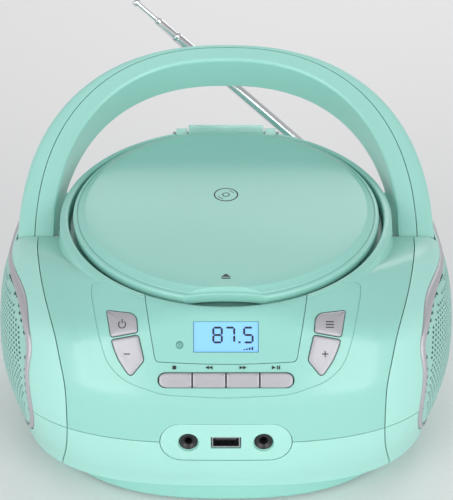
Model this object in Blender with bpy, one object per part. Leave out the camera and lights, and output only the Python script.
"""Portable CD player with a swing-up carrying handle and a telescopic antenna.

Sizes are in millimetres and degrees; every mesh is written in metres.
X runs to the player's right-hand side as seen from the front, -Y is the front, +Z is up.
The pieces hang under empties that stand on their joint axes.
"""

import math

import bmesh
import bpy
import numpy as np
from mathutils import Matrix, Vector

MM = 0.001

# ---------------------------------------------------------------- driving dimensions
BODY_HALF_WIDTH = 118.9   # widest half width of the body
BODY_FRONT = 112.0        # from the body's own axis to the belt line in front
BODY_BACK = 112.0         # and behind
FRONT_POWER = 2.85        # how square the front of the plan is (2 is an ellipse)
BACK_POWER = 3.0
PLAN_POINTS = 52

FOOT_H = 2.2              # rubber feet
PLINTH_TOP_Z = 13.7       # inset base under the lower case
CASE_BOTTOM_Z = 14.0
PARTING_Z = 43.5          # upper case meets lower case
FOLD_Z = 68.0             # the front leans back above this line
SHOULDER_Z = 104.0        # height of the shoulders beside the lid
SKIN_TOP_Z = 126.0
SHOULDER_FALL = 0.10      # the shoulders fall towards the back
FRONT_LEAN = 19.8         # how far the front has leant back at the shoulders
WALL = 2.4
GAP = 0.4                 # visible gap between neighbouring covers
WELD = 2e-6               # metres; corners this close after a cut are one corner

# body stations: height, then how far the side, front and back are tucked in there
STATIONS = (
    (CASE_BOTTOM_Z, 10.4, 7.4, 8.0),
    (22.0, 8.4, 3.5, 4.0),
    (30.0, 5.4, 1.2, 1.6),
    (39.0, 3.0, 0.0, 0.0),
    (48.0, 0.8, 0.0, 0.0),
    (57.0, 0.0, 0.0, 0.0),
    (FOLD_Z, 0.1, 0.0, 0.4),
    (80.0, 1.0, 6.5, 3.0),
    (90.0, 2.6, 12.0, 7.0),
    (98.0, 6.0, 16.4, 11.0),
    (SHOULDER_Z, 9.0, FRONT_LEAN, 15.0),
    (SKIN_TOP_Z, 22.0, 32.4, 28.0),
)
SEAM_X = BODY_HALF_WIDTH - 20.2   # side seam at its widest, and the arc it follows in plan
SEAM_ARC_R = 288.0
SEAM_ARC_Y = 10.0

# lid and its recess, in the lid's own tilted frame
LID_R = 79.0              # closes over a 120 mm disc
LID_Y = 104.0 - BODY_FRONT
LID_Z = 120.0
LID_TILT = 9.0
LID_THICK = 2.2
LID_PLATE_R = LID_R - 5.5 # raised centre plate
LID_PLATE_H = 2.8
LID_SKIRT = 4.5
LID_GAP = 2.6             # groove between the lid and the collar
COLLAR_TOP = -1.6         # collar's rim, below the lid's edge
COLLAR_LAND = 2.0
COLLAR_SLOPE = 0.5        # how the body falls away around the collar
COLLAR_OUT_R = LID_R + LID_GAP + 5.0
LEDGE_W = -10.4           # ledge that carries the disc well
LEDGE_IN = 4.6
HINGE_V = LID_R + 7.0     # lid hinge, behind and below the lid's edge
HINGE_W = -6.0
HINGE_PIN_R = 1.5
HINGE_PIN_HALF = 30.0
EAR_X = 22.0
EAR_WIDTH = 6.0
SCOOP_R = 24.0            # finger notch in the lid's front edge
SCOOP_AWAY = 18.6         # its centre, outside the lid's edge
PIN_CLEAR = 0.3           # radial clearance of the hinge pins

# handle, in its own frame: x across, r out along the arch's plane, q down from the front face
HANDLE_HALF_WIDTH = BODY_HALF_WIDTH - 9.4
HANDLE_REACH = 118.0
HANDLE_POWER = 2.35
LEG_WIDTH = 19.0
ARCH_THICK = 11.0
LEG_DEPTH = 22.0
ARCH_DEPTH = 29.0
HANDLE_LEAN = 50.0        # from upright, as it stands at rest
HANDLE_WALL = 2.2
SEAM_LEG = 9.0            # outer shell's strip on the front face, at the leg and at the top
SEAM_ARCH = 2.6
PIVOT_Y = -4.0
PIVOT_INSET = 4.0         # pin centre behind the leg's front face
PIVOT_PIN_R = 2.5
CHANNEL_CLEAR = 0.7
DECK_Y = 25.0

# front panel; u runs across it and v up the slope from the fold
BUTTON_PROUD = 1.0
KEY_DEPTH = 6.0           # transport keys, behind the panel's plane
SIDE_KEY_DEPTH = 19.0     # the side keys follow the panel round its corners
BUTTON_GAP = 0.5
WINDOW_THICK = 1.6
LCD_HALF_WIDTH = 17.0
LCD_HEIGHT = 16.0
LCD_S = 27.6
ROW_HALF = 32.0           # row of transport keys
ROW_V = 9.2
ROW_R = 3.5
WINDOW_LOW_HALF = 33.6    # display window's half width at its foot and 28 mm higher
WINDOW_HIGH_HALF = 38.4
WINDOW_FOOT_V = 17.8
SENSOR_U = -22.0
SENSOR_V = 25.0
SENSOR_R = 1.6
FIT = 0.3                 # clearance round a piece that is set into a hole

# jack panel
JACK_HALF_WIDTH = 32.0
JACK_HALF_HEIGHT = 10.7
JACK_THICK = 2.0
JACK_X = 18.1
JACK_R = 4.0
USB_WIDTH = 14.0
USB_HEIGHT = 6.0
USB_WALL = 0.8
PLUG_R = 1.9

# speakers
RING_Y = -10.0
RING_Z = 57.5
RING_HALF_LENGTH = 74.0
RING_HALF_HEIGHT = 42.0
RING_POWER = 3.0
RING_WIDTH = 1.8
RING_PROUD = 0.6
GRILLE_THICK = 1.4
SPEAKER_Y = -20.0
SPEAKER_Z = 47.0
SPEAKER_R = 30.0
BAFFLE_INSET = 15.5       # baffle's outer face, in from the widest point

# disc drive, in the lid's frame
WELL_R = LID_R - 15.0
WELL_FLOOR = -15.0
WELL_THICK = 1.8
DRIVE_W = -19.0
DRIVE_PLATE = 2.0
SPINDLE_R = 1.0
SLED_START = 26.0
SLED_TRAVEL = 32.0
GEAR_R = 6.0
GEAR_TEETH = 16
SLED_LEFT = -14.0
RAIL_X = 25.0
RAIL_R = 1.5

# antenna
ANTENNA_X = BODY_HALF_WIDTH - 36.9
ANTENNA_Z = 71.0
ANTENNA_Y = BODY_BACK + 9.0
ANTENNA_LEAN = 42.0       # above horizontal, to the left, at rest
TUBE_R = (3.0, 2.3, 1.6)
TUBE_WALL = 0.45
TUBE_SHOW = 14.0
TUBE_1_LENGTH = 150.0

# feet and power
FOOT_R = 7.0
BASE_INSET = 22.0         # the base stands in from the body's side, front and back
BASE_FRONT_INSET = 11.0
BASE_BACK_INSET = 13.0
BASE_POWER = 2.5
INLET_X = -64.0
INLET_Z = 29.0
INLET_HALF = (13.0, 8.0)
INLET_BACK_Y = BODY_BACK - 28.0
FEET = (
    ("front_left", 66.9 - BODY_HALF_WIDTH, 34.0 - BODY_FRONT),
    ("front_right", BODY_HALF_WIDTH - 66.9, 34.0 - BODY_FRONT),
    ("back_left", 58.9 - BODY_HALF_WIDTH, BODY_BACK - 34.0),
    ("back_right", BODY_HALF_WIDTH - 58.9, BODY_BACK - 34.0),
)
BAY_X = (-48.0, 56.0)
BAY_Y = (22.0, BODY_BACK - 30.0)
BAY_TOP = 33.0
BAY_WALL = 1.8

# --------------------------------------------------------------------- worked out
PANEL_ANGLE = math.atan2(SHOULDER_Z - FOLD_Z, FRONT_LEAN)
PIVOT_Z = SHOULDER_Z - PIVOT_INSET
SHOULDER_Y = PIVOT_Y - PIVOT_INSET
REAR_Y = ANTENNA_Y + 4.0
CENTRE_SHIFT = -(REAR_Y - BODY_FRONT) / 2   # puts the whole box's middle on the origin


# ------------------------------------------------------------------------ helpers
def clear_scene():
    for thing in list(bpy.data.objects):
        bpy.data.objects.remove(thing, do_unlink=True)


def link(name, mesh):
    thing = bpy.data.objects.new(name, mesh)
    bpy.context.scene.collection.objects.link(thing)
    return thing


def from_faces(name, points, faces):
    """A mesh object from points in millimetres, its faces turned outwards."""
    mesh = bpy.data.meshes.new(name)
    mesh.from_pydata([tuple(float(c) * MM for c in p) for p in points], [], faces)
    bm = bmesh.new()
    bm.from_mesh(mesh)
    bmesh.ops.recalc_face_normals(bm, faces=bm.faces)
    bm.to_mesh(mesh)
    bm.free()
    return link(name, mesh)


def loft(name, rings):
    """Closed skin through loops that all have the same number of points."""
    count = len(rings[0])
    points = [p for ring in rings for p in ring]
    faces = []
    for row in range(len(rings) - 1):
        for i in range(count):
            j = (i + 1) % count
            a, b = row * count, (row + 1) * count
            faces.append((a + i, a + j, b + j, b + i))
    faces.append(tuple(reversed(range(count))))
    faces.append(tuple((len(rings) - 1) * count + i for i in range(count)))
    return from_faces(name, points, faces)


def prism(name, outline, place, low, high):
    """Outline of (u, v) pairs pushed from low to high along w, in the frame that place gives."""
    rings = [[place @ Vector((u, v, w)) for u, v in outline] for w in (low, high)]
    return loft(name, rings)


def turned(name, profile, place, steps=48):
    """Closed profile of (radius, w) pairs turned about w; a radius of 0 lies on the axis."""
    rings = []
    for r, w in profile:
        if r == 0:
            rings.append([Vector((0, 0, w))])
            continue
        turn = [2 * math.pi * i / steps for i in range(steps)]
        rings.append([Vector((r * math.cos(t), r * math.sin(t), w)) for t in turn])
    points, starts = [], []
    for ring in rings:
        starts.append(len(points))
        points += [place @ p for p in ring]
    faces = []
    for k in range(len(rings)):
        m = (k + 1) % len(rings)
        one, two = len(rings[k]) == 1, len(rings[m]) == 1
        if one and two:
            continue
        for i in range(steps):
            j = (i + 1) % steps
            a, b = starts[k], starts[m]
            if one:
                faces.append((a, b + i, b + j))
            elif two:
                faces.append((a + i, a + j, b))
            else:
                faces.append((a + i, a + j, b + j, b + i))
    return from_faces(name, points, faces)


def box(name, low, high, place=None):
    place = place or Matrix.Identity(4)
    outline = [(low[0], low[1]), (high[0], low[1]), (high[0], high[1]), (low[0], high[1])]
    return prism(name, outline, place, low[2], high[2])


def combine(thing, other, operation, keep=False):
    """Boolean with the exact solver, written into the object's mesh."""
    modifier = thing.modifiers.new(operation.lower(), "BOOLEAN")
    modifier.operation = operation
    modifier.solver = "EXACT"
    modifier.object = other
    graph = bpy.context.evaluated_depsgraph_get()
    mesh = bpy.data.meshes.new_from_object(thing.evaluated_get(graph))
    thing.modifiers.clear()
    thing.data = mesh
    mesh.name = thing.name
    bm = bmesh.new()
    bm.from_mesh(mesh)
    bmesh.ops.remove_doubles(bm, verts=bm.verts, dist=WELD)
    bmesh.ops.dissolve_degenerate(bm, edges=bm.edges, dist=WELD)
    bm.to_mesh(mesh)
    bm.free()
    if not keep:
        bpy.data.objects.remove(other, do_unlink=True)
    return thing


def cut(thing, other, keep=False):
    return combine(thing, other, "DIFFERENCE", keep)


def join(thing, other, keep=False):
    return combine(thing, other, "UNION", keep)


def within(thing, other, keep=False):
    return combine(thing, other, "INTERSECT", keep)


def copy_of(thing, name):
    return link(name, thing.data.copy())


def mirrored(thing, name):
    """The same piece on the other side of the YZ plane."""
    mesh = thing.data.copy()
    mesh.transform(Matrix.Scale(-1, 4, (1, 0, 0)))
    mesh.flip_normals()
    return link(name, mesh)


def power_loop(half_x, front, back, front_power, back_power, count):
    """Plan outline: a superellipse whose front and back halves may differ."""
    loop = []
    for i in range(count):
        t = 2 * math.pi * i / count
        c, s = math.cos(t), math.sin(t)
        power = back_power if s > 0 else front_power
        x = half_x * math.copysign(abs(c) ** (2 / power), c)
        y = (back if s > 0 else front) * math.copysign(abs(s) ** (2 / power), s)
        loop.append((x, y))
    return loop


def at_height(z):
    """Half width, front and back of the body's skin at a height."""
    heights = [row[0] for row in STATIONS]
    tuck = [np.interp(z, heights, [row[k] for row in STATIONS]) for k in (1, 2, 3)]
    return BODY_HALF_WIDTH - tuck[0], BODY_FRONT - tuck[1], BODY_BACK - tuck[2]


def skin_loop(z, inset):
    half, front, back = at_height(z)
    loop = power_loop(half - inset, front - inset, back - inset, FRONT_POWER, BACK_POWER, PLAN_POINTS)
    return [(x, y, z) for x, y in loop]


def skin(name, inset, low, high):
    """The body's outer form, or one inset from it, between two heights."""
    heights = [low] + [row[0] for row in STATIONS if low + 0.5 < row[0] < high - 0.5] + [high]
    return loft(name, [skin_loop(z, inset) for z in heights])


# frames that pieces are built in
LID_FRAME = Matrix.Translation((0, LID_Y, LID_Z)) @ Matrix.Rotation(math.radians(LID_TILT), 4, "X")
PANEL_FRAME = (
    Matrix.Translation((0, -BODY_FRONT, FOLD_Z)) @ Matrix.Rotation(PANEL_ANGLE, 4, "X")
)
HANDLE_FRAME = Matrix.Translation((0, PIVOT_Y, PIVOT_Z)) @ Matrix.Rotation(
    math.radians(90 - HANDLE_LEAN), 4, "X"
)
FOLDED_FRAME = Matrix.Translation((0, PIVOT_Y, PIVOT_Z))
SIDE_FRAME = Matrix.Rotation(math.pi / 2, 4, "Y") @ Matrix.Rotation(math.pi / 2, 4, "Z")


def arch_loop(half, reach, foot, count=40):
    """Outline of the handle's arch lying in its plane, closed across at r = foot."""
    loop = [(half, foot)]
    for i in range(count + 1):
        t = math.pi * i / count
        c, s = math.cos(t), math.sin(t)
        loop.append(
            (half * math.copysign(abs(c) ** (2 / HANDLE_POWER), c), reach * s ** (2 / HANDLE_POWER))
        )
    loop.append((-half, foot))
    return loop


# -------------------------------------------------------------------- master forms
def hood(name, drop):
    """Everything under the collar's rim and the slope that runs down from it."""
    rim = LID_R + LID_GAP + COLLAR_LAND
    far = 260.0
    low = COLLAR_TOP - drop - (far - rim) * COLLAR_SLOPE
    profile = [(0, COLLAR_TOP - drop), (rim, COLLAR_TOP - drop), (far, low), (far, -400), (0, -400)]
    return turned(name, profile, LID_FRAME, 56)


def shoulder_block(name, drop):
    """Everything under the shoulders, which fall a little towards the back."""
    front, back = -200.0, 200.0
    top = [SHOULDER_Z - drop + (SHOULDER_Y - y) * SHOULDER_FALL for y in (front, back)]
    outline = [(front, -50), (back, -50), (back, top[1]), (front, top[0])]
    return prism(name, outline, SIDE_FRAME, -200, 200)


def collar_post(name, radius, top, bottom=-60.0):
    return turned(name, [(0, top), (radius, top), (radius, bottom), (0, bottom)], LID_FRAME, 56)


def channel(name, grow):
    """Space that the folded handle and its swing need, grown by a wall for the inner form."""
    clear = CHANNEL_CLEAR + grow
    outline = arch_loop(HANDLE_HALF_WIDTH + clear, HANDLE_REACH + clear + 20, SHOULDER_Y - PIVOT_Y - grow)
    floor_near = PIVOT_INSET - LEG_DEPTH - clear
    slot = prism(name, outline, FOLDED_FRAME, -60, 80)
    fall = (ARCH_DEPTH - LEG_DEPTH) / HANDLE_REACH
    side = [(-60, -120), (200, -120), (200, floor_near - 200 * fall), (-60, floor_near + 60 * fall)]
    cut(slot, prism("under_floor", side, FOLDED_FRAME @ SIDE_FRAME, -200, 200))
    inner = arch_loop(
        HANDLE_HALF_WIDTH - LEG_WIDTH - clear, HANDLE_REACH - ARCH_THICK - clear, DECK_Y - PIVOT_Y + grow
    )
    inner = [(x, max(r, DECK_Y - PIVOT_Y + grow)) for x, r in inner]
    tidy = [inner[0]]
    for point in inner[1:]:
        if abs(point[0] - tidy[-1][0]) + abs(point[1] - tidy[-1][1]) > 0.01:
            tidy.append(point)
    cut(slot, prism("deck", tidy[:-1] if tidy[0] == tidy[-1] else tidy, FOLDED_FRAME, -100, 100))
    cut(slot, collar_post("post", COLLAR_OUT_R - grow, 60))
    return slot


def outer_form():
    form = skin("outer_form", 0, CASE_BOTTOM_Z, SKIN_TOP_Z)
    within(form, hood("hood", 0))
    collar = within(copy_of(form, "collar"), collar_post("post", COLLAR_OUT_R, 60))
    within(form, shoulder_block("shoulders", 0))
    cut(form, channel("channel", 0))
    return join(form, collar)


def inner_form():
    form = skin("inner_form", WALL, CASE_BOTTOM_Z + WALL, SKIN_TOP_Z)
    within(form, hood("hood", WALL))
    within(form, shoulder_block("shoulders", WALL))
    cut(form, channel("channel", WALL))
    return cut(form, collar_post("post", LID_R + LID_GAP + WALL, 60, LEDGE_W - WALL))


def seam_loop(half):
    """Plan of the body between the two side seams."""
    arc = [
        (SEAM_X - SEAM_ARC_R + math.sqrt(SEAM_ARC_R**2 - (y - SEAM_ARC_Y) ** 2) + half, y)
        for y in np.linspace(-140, 140, 15)
    ]
    return arc + [(-x, y) for x, y in reversed(arc)]


# ---------------------------------------------------------------------------- casing
def make_casing():
    """Upper and lower case and the four side panels, cut from one hollow form."""
    shell = cut(outer_form(), inner_form())
    recess = [(0, LEDGE_W), (LID_R + LID_GAP, LEDGE_W), (LID_R + LID_GAP, 60), (0, 60)]
    cut(shell, turned("recess", recess, LID_FRAME, 56))
    mouth_r = LID_R + LID_GAP - LEDGE_IN
    mouth = [(0, LEDGE_W - 20), (mouth_r, LEDGE_W - 20), (mouth_r, 60), (0, 60)]
    cut(shell, turned("mouth", mouth, LID_FRAME, 56))
    middle = prism("middle", seam_loop(-GAP / 2), Matrix.Identity(4), -20, 300)
    outside = prism("outside", seam_loop(GAP / 2), Matrix.Identity(4), -20, 300)
    above = box("above", (-300, -300, PARTING_Z - GAP / 2), (300, 300, 400))
    below = box("below", (-300, -300, -50), (300, 300, PARTING_Z + GAP / 2))
    centre = within(copy_of(shell, "centre"), middle)
    upper = cut(copy_of(centre, "upper_case"), below, keep=True)
    lower = cut(centre, above, keep=True)
    lower.name = "lower_case"
    sides = cut(shell, outside)
    right = within(sides, box("half", (0, -300, -50), (300, 300, 400)))
    pieces = {"upper_case": upper, "lower_case": lower}
    for level, rest in (("upper", below), ("lower", above)):
        piece = cut(copy_of(right, f"right_{level}_side_panel"), rest)
        cut(piece, prism("opening", ring_outline(GAP), SIDE_FRAME, 40, 300))
        if level == "upper":
            cut(piece, box("rim", (40, SHOULDER_Y, SHOULDER_Z - 1.6), (300, 300, 300)))
        pieces[piece.name] = piece
        twin = mirrored(piece, f"left_{level}_side_panel")
        pieces[twin.name] = twin
    bpy.data.objects.remove(right, do_unlink=True)
    return pieces


def ring_outline(grow, count=44):
    """Outline of the speaker opening in the side view: y forwards-back, z up."""
    loop = power_loop(
        RING_HALF_LENGTH + grow, RING_HALF_HEIGHT + grow, RING_HALF_HEIGHT + grow,
        RING_POWER, RING_POWER, count,
    )
    return [(RING_Y + y, RING_Z + z) for y, z in loop]


def skin_patch(name, outline, proud, thick):
    """Piece of the body's skin inside an outline in the side view, right-hand side."""
    patch = prism(name, outline, SIDE_FRAME, 60, 300)
    within(patch, skin("patch_out", -proud, 6.0, 112.0))
    return cut(patch, skin("patch_in", thick - proud, 2.0, 116.0))


def make_speakers(pieces):
    ring = skin_patch("right_speaker_ring", ring_outline(0), RING_PROUD, RING_PROUD + 3.0)
    cut(ring, prism("ring_hole", ring_outline(-RING_WIDTH), SIDE_FRAME, 40, 300))
    grille = skin_patch("right_speaker_grille", ring_outline(-RING_WIDTH - 0.3), 0, GRILLE_THICK)
    for piece in (ring, grille):
        cut(piece, channel("channel", 0))
    place = Matrix.Translation((BODY_HALF_WIDTH - BAFFLE_INSET, SPEAKER_Y, SPEAKER_Z)) @ Matrix.Rotation(
        math.pi / 2, 4, "Y"
    )
    cone_r = SPEAKER_R - 4.0
    magnet_r = SPEAKER_R * 0.6
    frame = turned(
        "right_speaker_frame",
        [
            (cone_r + 0.2, 0.0), (SPEAKER_R, 0.0), (SPEAKER_R, -2.5), (cone_r + 1.8, -2.5),
            (magnet_r - 4, -16.0), (magnet_r, -16.0), (magnet_r, -27.0), (0, -27.0), (0, -19.0),
            (7.0, -19.0), (7.0, -16.0), (magnet_r - 6, -15.0), (cone_r + 0.2, -3.0),
        ],
        place,
        28,
    )
    cone = turned(
        "right_speaker_cone",
        [
            (0, -7.2), (6.0, -8.2), (9.0, -9.3), (cone_r - 5.0, -1.6), (cone_r - 3.0, 0.0),
            (cone_r - 0.6, -1.0), (cone_r - 0.6, -1.8), (cone_r - 5.2, -2.8), (9.0, -10.8),
            (6.4, -10.8), (6.4, -17.0), (5.6, -17.0), (5.6, -9.6), (0, -8.4),
        ],
        place,
        24,
    )
    for piece in (ring, grille, frame, cone):
        pieces[piece.name] = piece
        twin = mirrored(piece, piece.name.replace("right", "left"))
        pieces[twin.name] = twin


# ----------------------------------------------------------------------- front panel
def panel_outlines():
    """Button outlines on the slanted panel: u across, v up the slope from the fold."""
    side = {
        "power_button": [(-55.0, 29.2), (-41.6, 31.6), (-42.4, 39.0), (-45.0, 41.2), (-57.6, 42.6)],
        "volume_down_button": [
            (-54.9, 28.5), (-53.6, 24.0), (-51.2, 18.4), (-46.6, 11.6), (-44.6, 11.0), (-38.6, 18.4),
            (-41.5, 30.9),
        ],
    }
    twins = {"power_button": "mode_button", "volume_down_button": "volume_up_button"}
    outlines = dict(side)
    for name, points in side.items():
        outlines[twins[name]] = [(-u, v) for u, v in reversed(points)]
    return outlines


def transport_outlines():
    """Four keys in a row; the outer two have round ends."""
    half, v, r = ROW_HALF, ROW_V, ROW_R
    split = half / 2
    outlines = {}
    for k, name in enumerate(("stop_button", "back_button", "forward_button", "play_button")):
        u0, u1 = -half + k * split + BUTTON_GAP / 2, -half + (k + 1) * split - BUTTON_GAP / 2
        left, right = [(u0, v + r), (u0, v - r)], [(u1, v - r), (u1, v + r)]
        turn = [math.pi / 2 + math.pi * i / 8 for i in range(9)]
        if k == 0:
            left = [(u0 + r + r * math.cos(t), v + r * math.sin(t)) for t in turn]
        if k == 3:
            right = [(u1 - r - r * math.cos(t), v - r * math.sin(t)) for t in turn]
        outlines[name] = left + right
    return outlines


def shrunk(outline, by):
    """Outline moved in by a distance along its corners' bisectors; negative grows it."""
    count = len(outline)
    area = sum(
        outline[i][0] * outline[(i + 1) % count][1] - outline[(i + 1) % count][0] * outline[i][1]
        for i in range(count)
    )
    turn = 1 if area > 0 else -1
    result = []
    for i in range(count):
        a, b, c = (Vector(outline[(i + k) % count]) for k in (-1, 0, 1))
        before, after = (b - a).normalized(), (c - b).normalized()
        n1, n2 = Vector((-before.y, before.x)) * turn, Vector((-after.y, after.x)) * turn
        middle = (n1 + n2).normalized()
        result.append(tuple(b + middle * by / max(0.4, middle.dot(n1))))
    return result


def window_outline():
    """Display window: wider at the top, where it runs up to the lid's groove."""
    half, foot, head = WINDOW_LOW_HALF, WINDOW_FOOT_V, 60.0
    lean = (WINDOW_HIGH_HALF - half) / 28.0
    top = half + lean * (head - foot)
    bow = [(i / 4 - 1, 1.2 * math.sin(math.pi * i / 8)) for i in range(9)]
    return [(half * across, foot - sag) for across, sag in bow] + [(top, head), (-top, head)]


def outer_copy(inset):
    """Skin and hood moved in by an inset, for pieces that follow the front."""
    form = skin("outer_copy", inset, FOLD_Z - 20, SKIN_TOP_Z)
    return within(form, hood("hood", inset))


def make_front(pieces):
    upper = pieces["upper_case"]
    keys = dict(panel_outlines())
    keys.update(transport_outlines())
    proud = outer_copy(-BUTTON_PROUD)
    for name, outline in keys.items():
        depth = SIDE_KEY_DEPTH if name in panel_outlines() else KEY_DEPTH
        key = prism(name, shrunk(outline, BUTTON_GAP / 2), PANEL_FRAME, -depth, 30)
        within(key, proud, keep=True)
        pieces[name] = key
    for outline in panel_outlines().values():
        cut(upper, prism("key_hole", outline, PANEL_FRAME, -30, 40))
    low, high = ROW_V - ROW_R - BUTTON_GAP / 2, ROW_V + ROW_R + BUTTON_GAP / 2
    row = [(-ROW_HALF, low), (ROW_HALF, low), (ROW_HALF, high), (-ROW_HALF, high)]
    cut(upper, prism("row_hole", shrunk(row, -0.1), PANEL_FRAME, -14, 40))
    bpy.data.objects.remove(proud, do_unlink=True)

    outline = window_outline()
    glass = prism("display_window", shrunk(outline, FIT), PANEL_FRAME, -14, 40)
    within(glass, outer_copy(0.2))
    cut(glass, outer_copy(0.2 + WINDOW_THICK))
    rim = LID_R + LID_GAP + 0.6
    cut(glass, collar_post("post", rim, 60))
    seat = prism("seat", outline, PANEL_FRAME, -14, 40)
    cut(seat, outer_copy(0.4 + WINDOW_THICK))
    cut(seat, collar_post("post", LID_R + LID_GAP + 0.3, 60))
    cut(upper, seat)
    view = LCD_HALF_WIDTH - 1.0, LCD_HEIGHT / 2 - 1.0
    sight = [(-view[0], LCD_S - view[1]), (view[0], LCD_S - view[1])]
    sight += [(view[0], LCD_S + view[1]), (-view[0], LCD_S + view[1])]
    cut(upper, prism("sight", sight, PANEL_FRAME, -14, 40))
    lcd = box(
        "lcd_module",
        (-LCD_HALF_WIDTH, LCD_S - LCD_HEIGHT / 2, -6.4),
        (LCD_HALF_WIDTH, LCD_S + LCD_HEIGHT / 2, -3.4),
        PANEL_FRAME,
    )
    board = box("button_board", (-36, 4, -10.8), (36, 33, -9.2), PANEL_FRAME)
    sensor_place = PANEL_FRAME @ Matrix.Translation((SENSOR_U, SENSOR_V, 0))
    lens_side = [(0, -6.8), (SENSOR_R, -6.8), (SENSOR_R, -4.4), (0, -4.0)]
    sensor = turned("sensor_lens", lens_side, sensor_place, 24)
    hole_r = SENSOR_R + 0.4
    cut(upper, turned("sensor_hole", [(0, -12), (hole_r, -12), (hole_r, 20), (0, 20)], sensor_place, 24))
    for piece in (glass, lcd, board, sensor):
        pieces[piece.name] = piece


def stadium(half_width, half_height, count=10):
    turn = [-math.pi / 2 + math.pi * i / count for i in range(count + 1)]
    reach = half_width - half_height
    right = [(reach + half_height * math.cos(t), half_height * math.sin(t)) for t in turn]
    return right + [(-x, -y) for x, y in right]


def make_jacks(pieces):
    front = Matrix.Translation((0, -BODY_FRONT, PARTING_Z)) @ Matrix.Rotation(math.pi / 2, 4, "X")
    outline = stadium(JACK_HALF_WIDTH, JACK_HALF_HEIGHT)
    panel = prism("jack_panel", shrunk(outline, FIT), front, -12, 12)
    within(panel, skin("jack_skin", FIT, PARTING_Z - 20, PARTING_Z + 20))
    cut(panel, skin("jack_skin", FIT + JACK_THICK, PARTING_Z - 22, PARTING_Z + 22))
    for case in ("upper_case", "lower_case"):
        cut(pieces[case], prism("jack_hole", outline, front, -20, 12))
    def usb_block(name, grow, low, high):
        x, z = USB_WIDTH / 2 + grow, USB_HEIGHT / 2 + grow
        return box(name, (-x, -z, low), (x, z, high), front)

    cut(panel, usb_block("usb_hole", FIT, -20, 20))
    socket = usb_block("usb_socket", 0, -16, -0.6)
    cut(socket, usb_block("usb_inside", -USB_WALL, -13, 2))
    tongue_x = USB_WIDTH / 2 - 2 * USB_WALL
    join(socket, box("tongue", (-tongue_x, 0.4, -14), (tongue_x, 1.6, -2.0), front))
    for name, x in (("aux_jack", -JACK_X), ("phones_jack", JACK_X)):
        place = front @ Matrix.Translation((x, 0, 0))
        bore, barrel = PLUG_R, JACK_R - FIT
        jack = turned(
            name,
            [(bore, 0.0), (barrel, 0.0), (barrel, -5.0), (barrel + 1.4, -5.0), (barrel + 1.4, -15.0),
             (0, -15.0), (0, -13.0), (bore, -13.0)],
            place, 20,
        )
        cut(panel, turned("hole", [(0, -20), (JACK_R, -20), (JACK_R, 20), (0, 20)], place, 32))
        pieces[name] = jack
    for piece in (panel, socket):
        pieces[piece.name] = piece


# ------------------------------------------------------------------------------- lid
def make_lid(pieces):
    inner = LID_R - LID_THICK
    lid = turned(
        "disc_lid",
        [
            (0, LID_PLATE_H + 0.6), (LID_PLATE_R * 0.6, LID_PLATE_H + 0.4), (LID_PLATE_R, LID_PLATE_H),
            (LID_PLATE_R + 0.5, LID_PLATE_H - 0.5), (LID_R - 0.8, 0.3), (LID_R, -0.7),
            (LID_R, -LID_SKIRT), (inner, -LID_SKIRT), (inner, -LID_THICK + 0.4),
            (LID_PLATE_R - 1.0, LID_PLATE_H - LID_THICK), (0, LID_PLATE_H - LID_THICK + 0.4),
        ],
        LID_FRAME, 56,
    )
    scoop = turned(
        "scoop", [(0, -12), (SCOOP_R, -12), (SCOOP_R, -1.6), (SCOOP_R + 2.5, 10), (0, 10)],
        LID_FRAME @ Matrix.Translation((0, -LID_R - SCOOP_AWAY, 0)), 40,
    )
    cut(lid, scoop)
    wall = LID_R - 6.2
    for side in (-1, 1):
        x0, x1 = sorted((side * EAR_X, side * (EAR_X + EAR_WIDTH)))
        side_view = [
            (wall, -2.2), (HINGE_V, HINGE_W + 3.6), (HINGE_V + 3.0, HINGE_W + 1.8),
            (HINGE_V + 3.6, HINGE_W - 0.6), (HINGE_V + 1.6, HINGE_W - 3.2),
            (HINGE_V - 2.0, HINGE_W - 3.2), (HINGE_V - 6.0, HINGE_W + 1.2), (wall, -3.6),
        ]
        ear = prism("ear", side_view, LID_FRAME @ SIDE_FRAME, x0, x1)
        join(lid, ear)
    axle = LID_FRAME @ Matrix.Translation((0, HINGE_V, HINGE_W)) @ Matrix.Rotation(math.pi / 2, 4, "Y")
    span = HINGE_PIN_HALF
    bore_r, bore_end = HINGE_PIN_R + PIN_CLEAR, span + 6
    bore = [(0, -bore_end), (bore_r, -bore_end), (bore_r, bore_end), (0, bore_end)]
    cut(lid, turned("bore", bore, axle, 20))
    pin_side = [(0, -span), (HINGE_PIN_R, -span), (HINGE_PIN_R, span), (0, span)]
    pin = turned("lid_hinge_pin", pin_side, axle, 20)

    upper = pieces["upper_case"]
    near = (-EAR_X + 0.5, HINGE_V - 3.7, HINGE_W - 26)
    far = (EAR_X - 0.5, HINGE_V + 4.2, HINGE_W + 3.4)
    join(upper, box("hinge_block", near, far, LID_FRAME))
    for side in (-1, 1):
        x0, x1 = sorted((side * (EAR_X - 0.8), side * (EAR_X + EAR_WIDTH + 0.8)))
        cut(upper, box("notch", (x0, LID_R - 1.3, LEDGE_W + 0.7), (x1, HINGE_V + 9.0, 30), LID_FRAME))
    cut(upper, turned("bore", bore, axle, 20))
    under = LID_PLATE_H - LID_THICK
    clamp = turned(
        "disc_clamp",
        [(0, under - 0.3), (15.0, under - 0.3), (15.0, under - 2.6), (11.0, under - 3.6),
         (9.0, under - 3.6), (9.0, under - 2.0), (0, under - 2.0)],
        LID_FRAME, 40,
    )
    for piece in (lid, pin, clamp):
        pieces[piece.name] = piece


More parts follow.
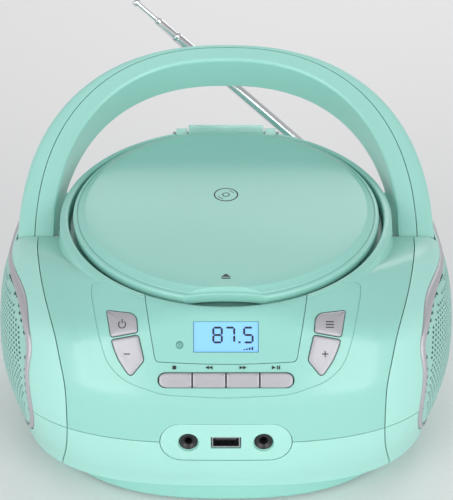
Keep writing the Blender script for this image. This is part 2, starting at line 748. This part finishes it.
def make_drive(pieces):
    flange = LID_R + LID_GAP - 0.6
    well = turned(
        "disc_well",
        [
            (0, WELL_FLOOR), (WELL_R, WELL_FLOOR), (WELL_R + 1.4, LEDGE_W + 2.2), (flange, LEDGE_W + 2.2),
            (flange, LEDGE_W + 0.4), (WELL_R + 3.2, LEDGE_W + 0.4), (WELL_R + 1.8, WELL_FLOOR - WELL_THICK),
            (0, WELL_FLOOR - WELL_THICK),
        ],
        LID_FRAME, 40,
    )
    cut(well, turned("spindle_hole", [(0, -60), (17.0, -60), (17.0, 0), (0, 0)], LID_FRAME, 40))
    slot_end = SLED_START + SLED_TRAVEL + 3.0
    cut(well, box("slot", (-9, -slot_end, -60), (9, 0, 0), LID_FRAME))
    hub = turned(
        "turntable",
        [
            (0, -3.6), (5.0, -3.9), (7.2, -5.6), (7.2, -8.0), (15.0, -8.0), (15.0, -9.6), (3.0, -9.6),
            (3.0, -13.0), (SPINDLE_R, -13.0), (SPINDLE_R, DRIVE_W - 8.0), (0, DRIVE_W - 8.0),
        ],
        LID_FRAME, 28,
    )
    motor = turned(
        "spindle_motor",
        [
            (SPINDLE_R + 0.4, -14.0), (6.0, -14.0), (6.0, DRIVE_W + 1.0), (12.5, DRIVE_W + 1.0),
            (12.5, DRIVE_W - 12.0), (0, DRIVE_W - 12.0), (0, DRIVE_W - 9.0),
            (SPINDLE_R + 0.4, DRIVE_W - 9.0),
        ],
        LID_FRAME, 24,
    )
    rail_end = SLED_START + SLED_TRAVEL + 9.0
    plate = box("drive_frame", (-38, -rail_end - 9, DRIVE_W - DRIVE_PLATE), (38, 30, DRIVE_W), LID_FRAME)
    cut(plate, turned("motor_hole", [(0, -60), (12.9, -60), (12.9, 0), (0, 0)], LID_FRAME, 36))
    cut(plate, box("slot", (-17, -slot_end - 4, -60), (17, -11, 0), LID_FRAME))
    for side in (-1, 1):
        low = (side * RAIL_X - 3, -rail_end - 6, DRIVE_W - 9)
        high = (side * RAIL_X + 3, -rail_end - 0.5, DRIVE_W - 1)
        join(plate, box("rail_post", low, high, LID_FRAME))
    rail_w = DRIVE_W - 6.0
    along = Matrix.Rotation(math.pi / 2, 4, "X")
    rail_place = LID_FRAME @ Matrix.Translation((RAIL_X, -rail_end, rail_w)) @ along
    rail_long = rail_end - 16.0
    rod_side = [(0, -rail_long), (RAIL_R, -rail_long), (RAIL_R, 0), (0, 0)]
    rail = turned("guide_rod", rod_side, rail_place, 20)
    sled_place = LID_FRAME @ Matrix.Translation((0, -SLED_START, DRIVE_W))
    sled = box("laser_sled", (SLED_LEFT, -9, -8), (RAIL_X - 4, 7, -3.4), sled_place)
    join(sled, box("arm", (RAIL_X - 5, -7, -9.5), (RAIL_X + 3.5, 5, -2.6), sled_place))
    lens_side = [(0, 2.6), (2.6, 2.2), (3.6, 1.6), (3.6, -5), (0, -5)]
    join(sled, turned("lens", lens_side, sled_place, 24))
    hole_r = RAIL_R + PIN_CLEAR
    cut(sled, turned("rod_hole", [(0, -60), (hole_r, -60), (hole_r, 20), (0, 20)], rail_place, 20))
    gear = sled_gear()
    for piece in (well, hub, motor, plate, rail, sled, gear):
        pieces[piece.name] = piece


def sled_gear():
    """Toothed wheel that moves the sled by its rack, on its own stub axle."""
    tooth_depth, tooth_turn = 1.0, 0.06
    outline = []
    for i in range(GEAR_TEETH * 2):
        t = math.pi * i / GEAR_TEETH
        r = GEAR_R + (tooth_depth / 2 if i % 2 == 0 else -tooth_depth / 2)
        outline += [(r * math.cos(a), r * math.sin(a)) for a in (t - tooth_turn, t + tooth_turn)]
    place = LID_FRAME @ Matrix.Translation((SLED_LEFT - GEAR_R - 1.0, -SLED_START - 1.0, 0))
    gear = prism("sled_gear", outline, place, DRIVE_W - 7.4, DRIVE_W - 4.0)
    cut(gear, turned("bore", [(0, -60), (1.4, -60), (1.4, 0), (0, 0)], place, 16))
    return gear


# ---------------------------------------------------------------------------- handle
def arch_point(t, half, reach):
    c, s = math.cos(t), math.sin(t)
    return (
        half * math.copysign(abs(c) ** (2 / HANDLE_POWER), c),
        reach * max(0.0, s) ** (2 / HANDLE_POWER),
    )


def handle_section(t, near, far):
    """One cross-section of a channel between two edges, each given as (half, reach)."""
    a, b = Vector(arch_point(t, *near)), Vector(arch_point(t, *far))
    depth = LEG_DEPTH + (ARCH_DEPTH - LEG_DEPTH) * max(0.0, math.sin(t))
    step = (b - a).normalized() * min(HANDLE_WALL, (b - a).length * 0.7)
    edge, soft, wall = 1.6, step * 0.5, HANDLE_WALL
    line = [
        (b, 0.0), (a + soft, 0.0), (a, edge), (a, depth - edge), (a + soft, depth), (b, depth),
        (b, depth - wall), (a + step, depth - wall), (a + step, wall), (b, wall),
    ]
    return [HANDLE_FRAME @ Vector((p.x, p.y, PIVOT_INSET - q)) for p, q in line]


def make_handle(pieces):
    outer = (HANDLE_HALF_WIDTH, HANDLE_REACH)
    seam = (HANDLE_HALF_WIDTH - SEAM_LEG, HANDLE_REACH - SEAM_ARCH)
    inner = (HANDLE_HALF_WIDTH - LEG_WIDTH, HANDLE_REACH - ARCH_THICK)
    seam_in = (seam[0] - GAP, seam[1] - GAP)
    count = 32
    shells = {}
    for name, near, far in (("handle_outer_shell", outer, seam), ("handle_inner_shell", inner, seam_in)):
        sections = [handle_section(math.pi * i / count, near, far) for i in range(count + 1)]
        shells[name] = loft(name, sections)
    axle = HANDLE_FRAME @ Matrix.Rotation(math.pi / 2, 4, "Y")
    legs = shells["handle_inner_shell"]
    for side in (-1, 1):
        low, high = sorted((side * (inner[0] + 0.2), side * (seam_in[0] - 0.1)))
        foot_low, foot_high = PIVOT_INSET - LEG_DEPTH + 0.2, PIVOT_INSET - 0.2
        join(legs, box("foot", (low, 0.3, foot_low), (high, HANDLE_REACH / 8, foot_high), HANDLE_FRAME))
        hub_r, hub_low, hub_high = PIVOT_INSET - 0.1, low + 0.4, high - 0.4
        hub_side = [(0, hub_low), (hub_r, hub_low), (hub_r, hub_high), (0, hub_high)]
        join(legs, turned("hub", hub_side, axle, 24))
    hole = PIVOT_PIN_R + PIN_CLEAR
    cut(legs, turned("bore", [(0, -200), (hole, -200), (hole, 200), (0, 200)], axle, 24))
    upper = pieces["upper_case"]
    inner_end = COLLAR_OUT_R - 5.0
    for side, word in ((1, "right"), (-1, "left")):
        low, high = sorted((side * inner_end, side * (HANDLE_HALF_WIDTH - SEAM_LEG - 1.5)))
        pin = turned(
            f"{word}_handle_pin", [(0, low), (PIVOT_PIN_R, low), (PIVOT_PIN_R, high), (0, high)], axle, 24
        )
        pieces[pin.name] = pin
    end = HANDLE_HALF_WIDTH
    cut(upper, turned("bore", [(0, -end), (hole, -end), (hole, end), (0, end)], axle, 24))
    pieces.update(shells)


# --------------------------------------------------------------------------- antenna
def make_antenna(pieces):
    flange_y = ANTENNA_Y - 3.6
    stem_y = flange_y - 10.0
    place = Matrix.Translation((ANTENNA_X, 0, ANTENNA_Z)) @ Matrix.Rotation(-math.pi / 2, 4, "X")
    near = (ANTENNA_X - 9, BODY_BACK - 32, ANTENNA_Z - 9)
    bracket = box("antenna_bracket", near, (ANTENNA_X + 9, flange_y - GAP, ANTENNA_Z + 9))
    cut(bracket, skin("skin_copy", -GAP, ANTENNA_Z - 20, ANTENNA_Z + 20))
    knuckle = turned(
        "antenna_knuckle",
        [(0, stem_y), (2.4, stem_y), (2.4, flange_y), (6.0, flange_y), (6.0, REAR_Y), (0, REAR_Y)],
        place, 20,
    )
    cut(bracket, turned("bore", [(0, stem_y - 1), (2.8, stem_y - 1), (2.8, 200), (0, 200)], place, 20))
    aim = math.radians(90 - ANTENNA_LEAN)
    along = Matrix.Translation((ANTENNA_X, ANTENNA_Y, ANTENNA_Z)) @ Matrix.Rotation(-aim, 4, "Y")
    start = 6.3
    outer_1, outer_2, outer_3 = TUBE_R
    inner_1, inner_2, rod_r = outer_1 - TUBE_WALL, outer_2 - TUBE_WALL, outer_3 - 0.2
    tube_1 = turned(
        "antenna_tube_1",
        [(inner_1, start + 4.0), (inner_1, TUBE_1_LENGTH), (outer_1, TUBE_1_LENGTH),
         (outer_1, start), (0, start), (0, start + 4.0)],
        along, 16,
    )
    end_2 = TUBE_1_LENGTH + TUBE_SHOW
    tube_2 = turned(
        "antenna_tube_2",
        [(inner_2, start + 26.0), (inner_2, end_2), (outer_2, end_2),
         (outer_2, start + 22.0), (0, start + 22.0), (0, start + 26.0)],
        along, 16,
    )
    end_3 = end_2 + TUBE_SHOW
    tip = turned(
        "antenna_tip",
        [(0, end_3 + 3.4), (1.8, end_3 + 3.0), (2.3, end_3 + 1.6), (2.3, end_3), (rod_r, end_3),
         (rod_r, start + 44.0), (0, start + 44.0)],
        along, 16,
    )
    for piece in (bracket, knuckle, tube_1, tube_2, tip):
        pieces[piece.name] = piece


# ---------------------------------------------------------------- base and inner parts
def make_base(pieces):
    def plan(inset, z):
        half, front = BODY_HALF_WIDTH - BASE_INSET - inset, BODY_FRONT - BASE_FRONT_INSET - inset
        back = BODY_BACK - BASE_BACK_INSET - inset
        return [(x, y, z) for x, y in power_loop(half, front, back, BASE_POWER, BACK_POWER, 64)]

    def bay_block(name, inset, low, high):
        near, far = (BAY_X[0] + inset, BAY_Y[0] + inset), (BAY_X[1] - inset, BAY_Y[1] - inset)
        return box(name, (*near, low), (*far, high))

    plinth = loft("plinth", [plan(2.0, FOOT_H), plan(0.4, FOOT_H + 2.0), plan(0, PLINTH_TOP_Z)])
    cut(plinth, loft("inside", [plan(3.0, FOOT_H + WALL), plan(3.0, PLINTH_TOP_Z + 5)]))
    cut(plinth, bay_block("door_hole", BAY_WALL + 1, -5, 9))
    door = bay_block("battery_door", BAY_WALL + 1 + GAP, FOOT_H + 0.1, FOOT_H + WALL)
    lower = pieces["lower_case"]
    cut(lower, bay_block("bay_hole", -GAP, 0, CASE_BOTTOM_Z + WALL + 1))
    bay = bay_block("battery_box", 0, FOOT_H + WALL + GAP, BAY_TOP)
    cut(bay, bay_block("inside", BAY_WALL, -5, BAY_TOP - BAY_WALL))
    for piece in (plinth, door, bay):
        pieces[piece.name] = piece
    for word, x, y in FEET:
        place = Matrix.Translation((x, y, 0))
        top = FOOT_H - 0.3
        foot_side = [(0, top), (FOOT_R, top), (FOOT_R, 0.6), (FOOT_R - 0.8, 0), (0, 0)]
        foot = turned(f"{word}_foot", foot_side, place, 20)
        pieces[foot.name] = foot
    board = box("main_board", (-62, -62, 56.0), (62, 20, 57.6))
    transformer = box("transformer", (-86, 24, CASE_BOTTOM_Z + WALL + GAP), (BAY_X[0] - 4, 62, 48))
    pieces["main_board"] = board
    pieces["transformer"] = transformer
    place = Matrix.Translation((INLET_X, 0, INLET_Z)) @ Matrix.Rotation(-math.pi / 2, 4, "X")
    x, z = INLET_HALF
    inlet = box("mains_inlet", (-x, -z, INLET_BACK_Y), (x, z, 130), place)
    within(inlet, skin("inlet_skin", FIT, 15, 60))
    cut(inlet, box("inlet_mouth", (-x + 4, -z + 3.5, INLET_BACK_Y + 6), (x - 4, z - 3.5, 140), place))
    pin_low, pin_high = INLET_BACK_Y + 4, INLET_BACK_Y + 13
    for side in (-1, 1):
        pin_side = [(0, pin_low), (1.2, pin_low), (1.2, pin_high), (0, pin_high)]
        join(inlet, turned("pin", pin_side, place @ Matrix.Translation((side * 4.3, 0, 0)), 16))
    cut(lower, box("inlet_hole", (-x - FIT, -z - FIT, INLET_BACK_Y - 2), (x + FIT, z + FIT, 150), place))
    pieces["mains_inlet"] = inlet


# ------------------------------------------------------------- bodies and their finishes
PLASTIC_MINT = ((0.33, 0.62, 0.56), 0.34, 0.0)
PLASTIC_PALE = ((0.50, 0.80, 0.74), 0.38, 0.0)
SILVER = ((0.52, 0.53, 0.56), 0.35, 0.6)
CHROME = ((0.75, 0.76, 0.78), 0.12, 1.0)
BLACK = ((0.02, 0.02, 0.022), 0.4, 0.0)
GLASSY = ((0.25, 0.50, 0.46), 0.1, 0.0)
BLUE = ((0.25, 0.60, 0.97), 0.25, 0.0)
BOARD = ((0.03, 0.22, 0.10), 0.5, 0.0)
STEEL = ((0.55, 0.56, 0.58), 0.3, 1.0)
RUBBER = ((0.03, 0.03, 0.03), 0.8, 0.0)

FINISHES = {
    PLASTIC_MINT: (
        "upper_case", "disc_lid", "disc_well", "handle_outer_shell", "handle_inner_shell", "plinth",
        "battery_door", "left_speaker_grille", "right_speaker_grille",
    ),
    PLASTIC_PALE: (
        "lower_case", "jack_panel", "left_upper_side_panel", "left_lower_side_panel",
        "right_upper_side_panel", "right_lower_side_panel",
    ),
    SILVER: (
        "power_button", "volume_down_button", "mode_button", "volume_up_button", "stop_button",
        "back_button", "forward_button", "play_button", "left_speaker_ring", "right_speaker_ring",
    ),
    CHROME: ("antenna_knuckle", "antenna_tube_1", "antenna_tube_2", "antenna_tip"),
    STEEL: (
        "usb_socket", "lid_hinge_pin", "left_handle_pin", "right_handle_pin", "guide_rod",
        "spindle_motor", "drive_frame", "transformer",
    ),
    GLASSY: ("display_window",),
    BLUE: ("lcd_module",),
    BOARD: ("main_board", "button_board"),
    RUBBER: ("front_left_foot", "front_right_foot", "back_left_foot", "back_right_foot"),
    BLACK: (
        "sensor_lens", "aux_jack", "phones_jack", "disc_clamp", "turntable", "laser_sled", "sled_gear",
        "antenna_bracket", "battery_box", "mains_inlet", "left_speaker_frame", "right_speaker_frame",
        "left_speaker_cone", "right_speaker_cone",
    ),
}


def material(name, finish):
    colour, rough, metal = finish
    made = bpy.data.materials.new(name)
    made.use_nodes = True
    shader = made.node_tree.nodes["Principled BSDF"]
    shader.inputs["Base Color"].default_value = (*colour, 1.0)
    shader.inputs["Roughness"].default_value = rough
    shader.inputs["Metallic"].default_value = metal
    return made


def joint_frames():
    """Where each moving body's empty stands: its origin is a point on the joint's axis."""
    hinge = LID_FRAME @ Matrix.Translation((0, HINGE_V, HINGE_W))
    aim = math.radians(90 - ANTENNA_LEAN)
    antenna = Matrix.Translation((ANTENNA_X, ANTENNA_Y, ANTENNA_Z)) @ Matrix.Rotation(-aim, 4, "Y")
    gear = LID_FRAME @ Matrix.Translation((SLED_LEFT - GEAR_R - 1.0, -SLED_START - 1.0, DRIVE_W))
    frames = {
        "handle": (HANDLE_FRAME, ("handle_outer_shell", "handle_inner_shell")),
        "lid": (hinge, ("disc_lid",)),
        "clamp": (LID_FRAME, ("disc_clamp",)),
        "spindle": (LID_FRAME, ("turntable",)),
        "sled": (LID_FRAME @ Matrix.Translation((0, -SLED_START, DRIVE_W)), ("laser_sled",)),
        "gear": (gear, ("sled_gear",)),
        "antenna": (antenna, ("antenna_knuckle", "antenna_tube_1")),
        "antenna_middle": (antenna, ("antenna_tube_2",)),
        "antenna_end": (antenna, ("antenna_tip",)),
        "battery_cover": (Matrix.Translation((0, 0, FOOT_H)), ("battery_door",)),
    }
    for name, outline in {**panel_outlines(), **transport_outlines()}.items():
        middle = sum((Vector(p) for p in outline), Vector((0, 0))) / len(outline)
        frames[name.replace("button", "key")] = (
            PANEL_FRAME @ Matrix.Translation((middle.x, middle.y, 0)), (name,)
        )
    return frames


def place_under(piece, empty):
    """Moves a piece's origin to its empty without moving the piece."""
    inverse = empty.matrix_world.inverted()
    piece.data.transform(inverse)
    piece.parent = empty


def metres(frame):
    moved = frame.copy()
    moved.translation = frame.translation * MM
    return moved


def assemble(pieces):
    shift = Matrix.Translation((0, CENTRE_SHIFT * MM, 0))
    for piece in pieces.values():
        piece.data.transform(shift)
    player = bpy.data.objects.new("player", None)
    bpy.context.scene.collection.objects.link(player)
    player.location = (0, CENTRE_SHIFT * MM, 0)
    bpy.context.view_layer.update()
    moving = set()
    for name, (frame, members) in joint_frames().items():
        empty = bpy.data.objects.new(f"{name}_axis", None)
        bpy.context.scene.collection.objects.link(empty)
        empty.empty_display_size = 0.01
        empty.parent = player
        empty.matrix_basis = metres(frame)
        bpy.context.view_layer.update()
        for member in members:
            place_under(pieces[member], empty)
            moving.add(member)
    for name, piece in pieces.items():
        if name not in moving:
            place_under(piece, player)


def finish(pieces):
    for tint, names in FINISHES.items():
        for name in names:
            mesh = pieces[name].data
            mesh.materials.clear()
            mesh.materials.append(material(name, tint))
    for piece in pieces.values():
        piece.data.shade_smooth()
        piece.data.set_sharp_from_angle(angle=math.radians(32))


def main():
    clear_scene()
    pieces = make_casing()
    make_speakers(pieces)
    make_front(pieces)
    make_jacks(pieces)
    make_lid(pieces)
    make_drive(pieces)
    make_handle(pieces)
    make_antenna(pieces)
    make_base(pieces)
    helpers = [thing for thing in bpy.data.objects if thing not in pieces.values()]
    for thing in helpers:
        bpy.data.objects.remove(thing, do_unlink=True)
    assemble(pieces)
    finish(pieces)


main()
